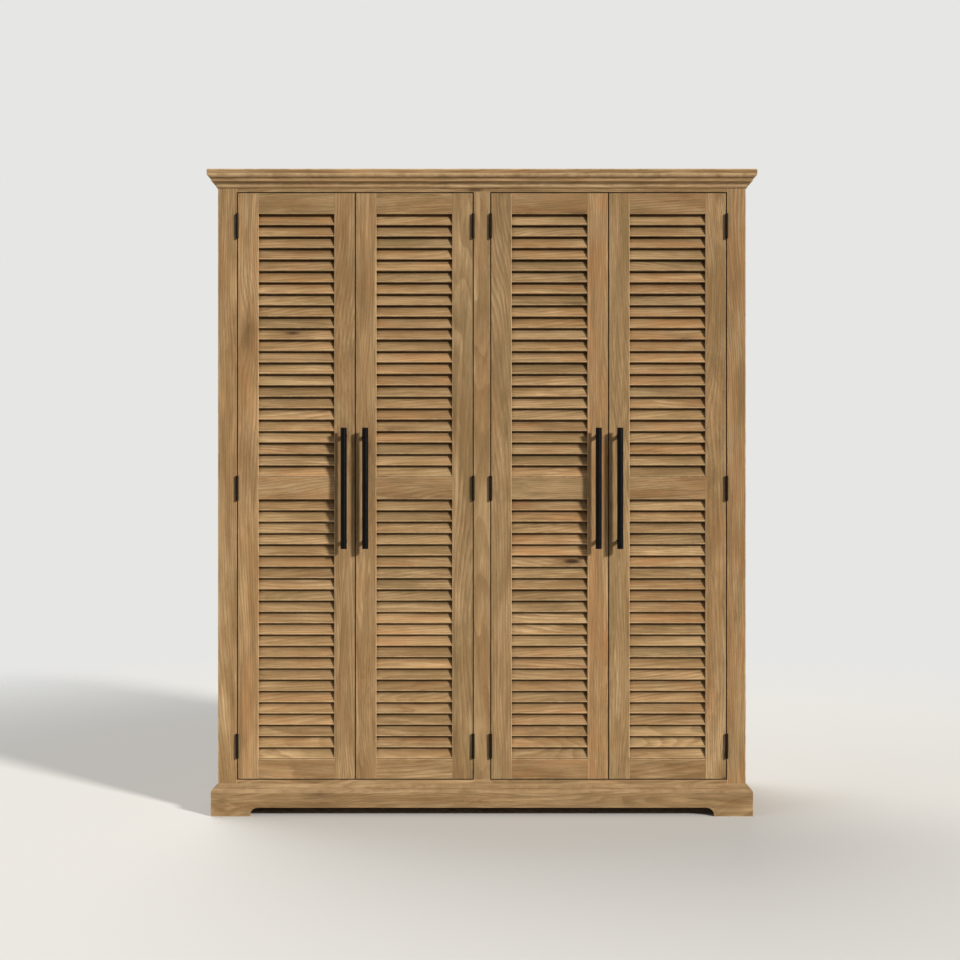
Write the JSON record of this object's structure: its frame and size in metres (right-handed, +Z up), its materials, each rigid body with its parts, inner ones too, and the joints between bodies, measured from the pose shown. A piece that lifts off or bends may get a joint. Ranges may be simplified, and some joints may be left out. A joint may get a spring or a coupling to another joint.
{
  "type": "wardrobe",
  "caption": "Free-standing wardrobe with louvred hinged doors, bar handles, a moulded cornice and a bracket-foot plinth; hat shelves and hanging rails inside.",
  "frame": {"origin": "on the floor, under the middle of the bounding box, handles included", "axes": "+X to the right as seen from the front, -Y to the front, +Z up"},
  "size_m": [1.69, 0.602, 1.99],
  "materials": {
    "wood_upright": "satin lacquer, upright grain",
    "wood_level": "satin lacquer, level grain",
    "wood_slats": "satin lacquer, level grain",
    "plywood": "sanded plywood",
    "black_metal": "matt black powder coat",
    "steel_tube": "brushed",
    "zinc_steel": "zinc plated",
    "catch_plastic": "moulded, matt"
  },
  "bodies": {
    "carcass": {"left_side": "wood_upright", "right_side": "wood_upright", "centre_partition": "wood_upright", "centre_bearer": "wood_level", "floor_panel": "wood_level", "ceiling_panel": "wood_level", "top_board": "wood_level", "back_panels": "plywood", "wall_rails": "wood_level", "left_stile": "wood_upright", "right_stile": "wood_upright", "centre_stile": "wood_upright", "head_rail": "wood_level", "sill_rail": "wood_level", "cornice_front": "wood_level", "cornice_returns": "wood_level", "plinth_front": "wood_level", "plinth_returns": "wood_level", "hat_shelves": "wood_level", "hanging_rails": "steel_tube", "rail_sockets": "steel_tube", "frame_hinge_leaves": "black_metal", "hinge_pins": "black_metal", "magnetic_catches": "catch_plastic"},
    "door_1": {"door_1_hinge_stile": "wood_upright", "door_1_meeting_stile": "wood_upright", "door_1_top_rail": "wood_level", "door_1_mid_rail": "wood_level", "door_1_bottom_rail": "wood_level", "door_1_louvres": "wood_slats", "door_1_handle": "black_metal", "door_1_hinge_leaves": "black_metal", "door_1_fastenings": "zinc_steel"},
    "door_2": {"door_2_hinge_stile": "wood_upright", "door_2_meeting_stile": "wood_upright", "door_2_top_rail": "wood_level", "door_2_mid_rail": "wood_level", "door_2_bottom_rail": "wood_level", "door_2_louvres": "wood_slats", "door_2_handle": "black_metal", "door_2_hinge_leaves": "black_metal", "door_2_fastenings": "zinc_steel"},
    "door_3": {"door_3_hinge_stile": "wood_upright", "door_3_meeting_stile": "wood_upright", "door_3_top_rail": "wood_level", "door_3_mid_rail": "wood_level", "door_3_bottom_rail": "wood_level", "door_3_louvres": "wood_slats", "door_3_handle": "black_metal", "door_3_hinge_leaves": "black_metal", "door_3_fastenings": "zinc_steel"},
    "door_4": {"door_4_hinge_stile": "wood_upright", "door_4_meeting_stile": "wood_upright", "door_4_top_rail": "wood_level", "door_4_mid_rail": "wood_level", "door_4_bottom_rail": "wood_level", "door_4_louvres": "wood_slats", "door_4_handle": "black_metal", "door_4_hinge_leaves": "black_metal", "door_4_fastenings": "zinc_steel"}
  },
  "joints": [
    {"name": "door_1_hinge", "type": "hinge", "parent": "carcass", "child": "door_1", "pos_m": [-0.755, -0.264, 1.009], "axis": [0, 0, -1], "range_deg": [0, 175]},
    {"name": "door_2_hinge", "type": "hinge", "parent": "carcass", "child": "door_2", "pos_m": [-0.027, -0.264, 1.009], "axis": [0, 0, 1], "range_deg": [0, 87]},
    {"name": "door_3_hinge", "type": "hinge", "parent": "carcass", "child": "door_3", "pos_m": [0.027, -0.264, 1.009], "axis": [0, 0, -1], "range_deg": [0, 87]},
    {"name": "door_4_hinge", "type": "hinge", "parent": "carcass", "child": "door_4", "pos_m": [0.755, -0.264, 1.009], "axis": [0, 0, 1], "range_deg": [0, 175]}
  ]
}
